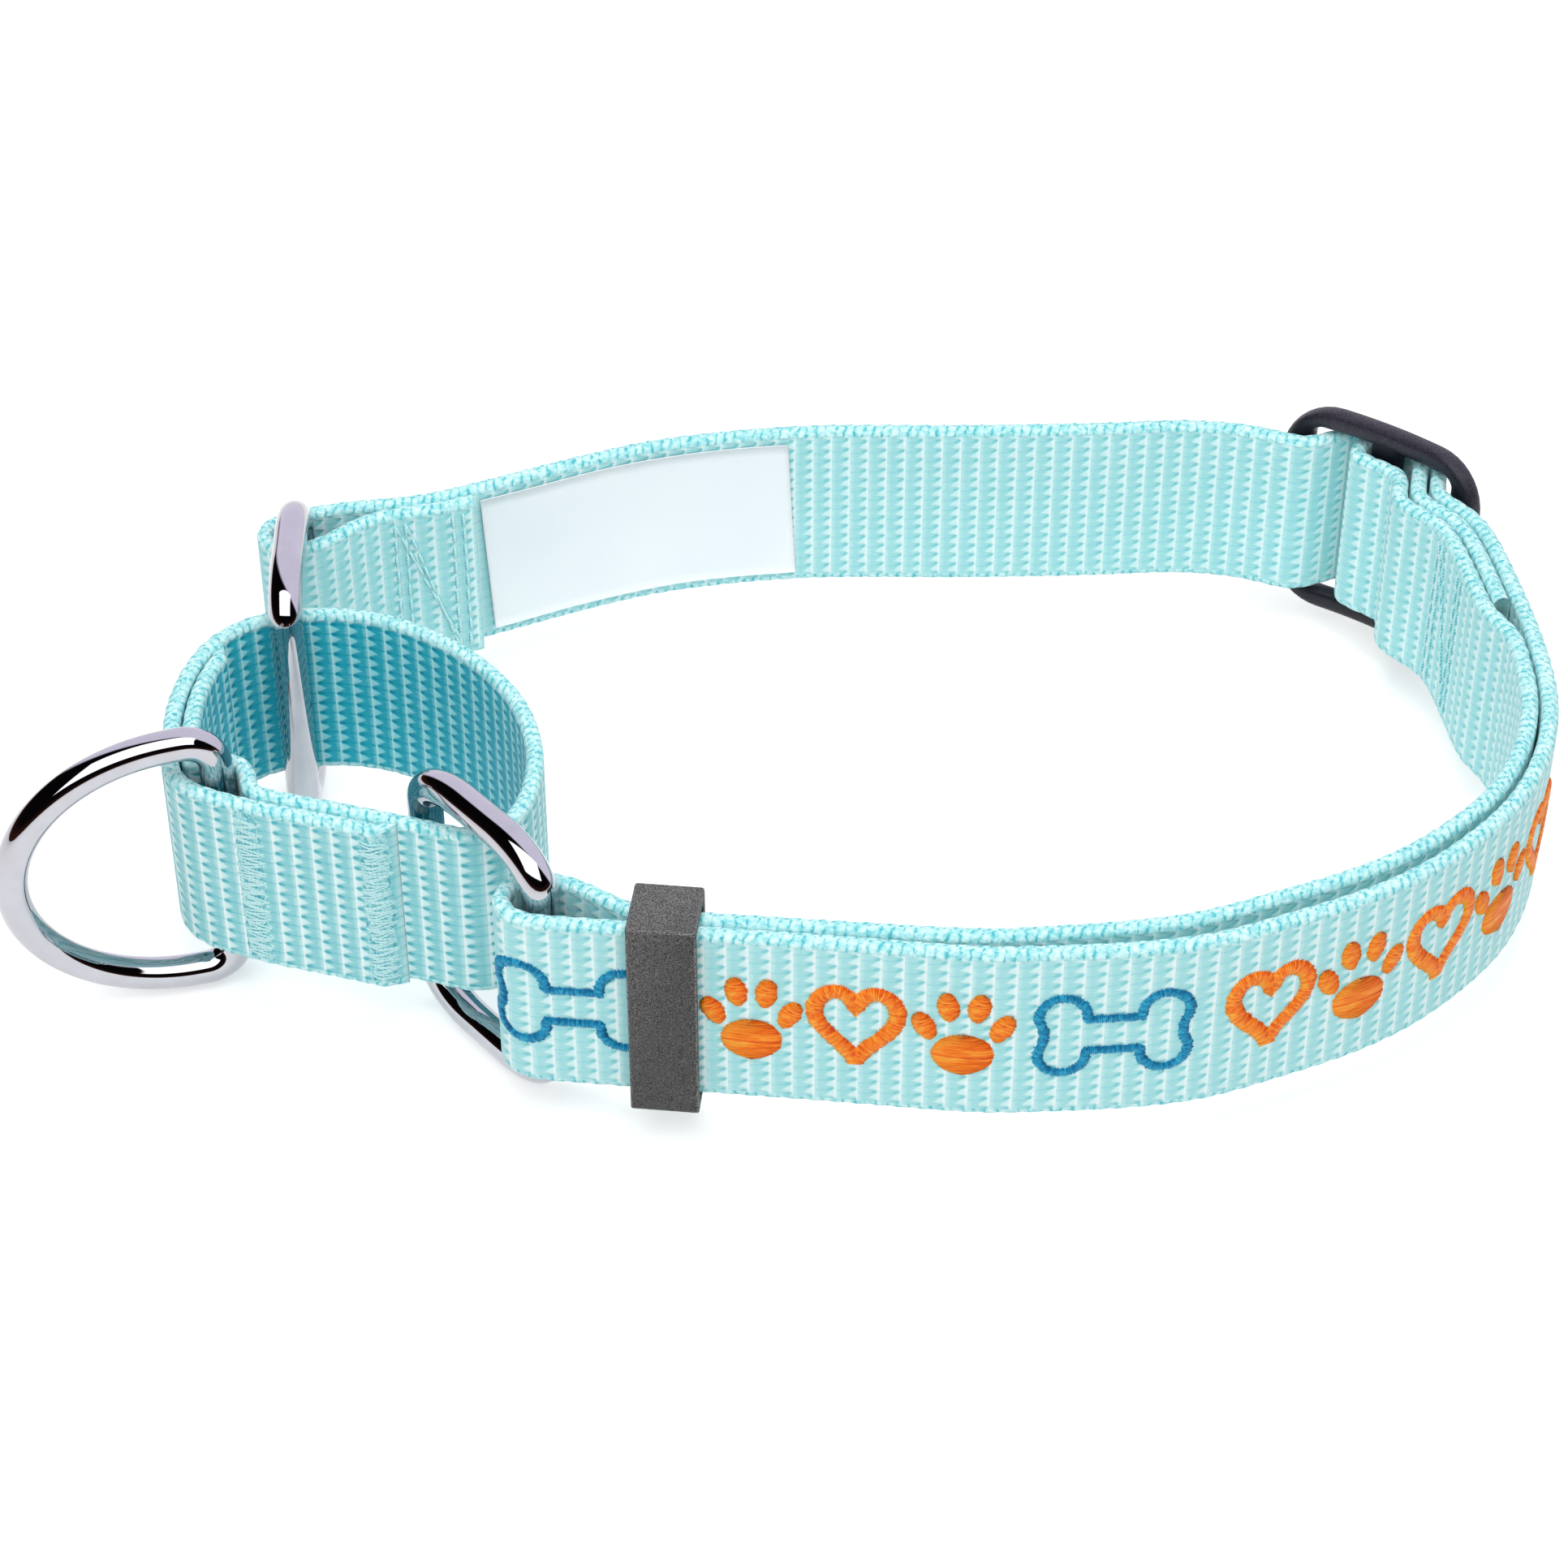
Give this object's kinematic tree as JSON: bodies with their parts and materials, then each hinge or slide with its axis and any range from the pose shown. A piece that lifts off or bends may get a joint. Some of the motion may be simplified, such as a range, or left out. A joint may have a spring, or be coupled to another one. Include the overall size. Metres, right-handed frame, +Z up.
{
  "type": "martingale collar",
  "caption": "Martingale dog collar: an adjustable webbing strap joined by wire rings to a small webbing control loop with a leash ring.",
  "frame": {"origin": "centre of the bounding box, on the surface that the collar rests on", "axes": "+X along the collar, from the leash ring towards the slider end; +Z up, along the width of the webbing, which stands on edge; +Y towards the back of the collar as pictured"},
  "size_m": [0.195, 0.1168, 0.0408],
  "materials": {
    "webbing": "woven nylon webbing, semi-matt",
    "ring_steel": "polished chrome-plated wire",
    "slider_plastic": "satin moulded",
    "keeper_plastic": "matt moulded",
    "label_satin": "white satin ribbon",
    "blue_thread": "satin-stitched thread",
    "orange_thread": "satin-stitched thread",
    "seam_thread": "sewing thread"
  },
  "bodies": {
    "strap": {"main_strap": "webbing", "label": "label_satin", "bone_outline_1": "blue_thread", "bone_outline_2": "blue_thread", "motif_1": "orange_thread", "motif_2": "orange_thread", "motif_3": "orange_thread", "motif_4": "orange_thread", "motif_5": "orange_thread", "motif_6": "orange_thread", "motif_7": "orange_thread", "motif_8": "orange_thread", "tail_seam": "seam_thread", "slider_seam": "seam_thread"},
    "front_ring": {"front_ring": "ring_steel"},
    "control_loop": {"control_loop": "webbing", "leash_tack": "seam_thread", "front_tack": "seam_thread"},
    "back_ring": {"back_ring": "ring_steel"},
    "leash_ring": {"leash_ring": "ring_steel"},
    "slider": {"slider": "slider_plastic"},
    "keeper": {"keeper": "keeper_plastic"}
  },
  "joints": [
    {"name": "front_ring_swing", "type": "hinge", "parent": "strap", "child": "front_ring", "pos_m": [-0.02922, -0.04705, 0.0208], "axis": [0, 0, 1], "range_deg": [-7, 7]},
    {"name": "control_loop_swing", "type": "hinge", "parent": "front_ring", "child": "control_loop", "pos_m": [-0.0441, -0.02899, 0.0208], "axis": [0, 0, 1], "range_deg": [-12.2, 12.2]},
    {"name": "back_ring_swing", "type": "hinge", "parent": "strap", "child": "back_ring", "pos_m": [-0.0658, 0.02991, 0.0208], "axis": [0, 0, 1], "range_deg": [-2.45, 2.45]},
    {"name": "leash_ring_swing", "type": "hinge", "parent": "control_loop", "child": "leash_ring", "pos_m": [-0.07002, -0.02354, 0.0208], "axis": [0, 0, 1], "range_deg": [-50, 75]},
    {"name": "slider_tilt", "type": "hinge", "parent": "strap", "child": "slider", "pos_m": [0.08315, 0.04899, 0.0208], "axis": [0, 0, 1], "range_deg": [-2, 2]},
    {"name": "keeper_slide", "type": "slide", "parent": "strap", "child": "keeper", "axis": [0.9942, -0.108, 0], "range_m": [0, 0.02]}
  ],
  "couplings": [
    {"joint": "control_loop_swing", "follows": "front_ring_swing", "ratio": -1.7368},
    {"joint": "back_ring_swing", "follows": "front_ring_swing", "ratio": 0.3471}
  ]
}
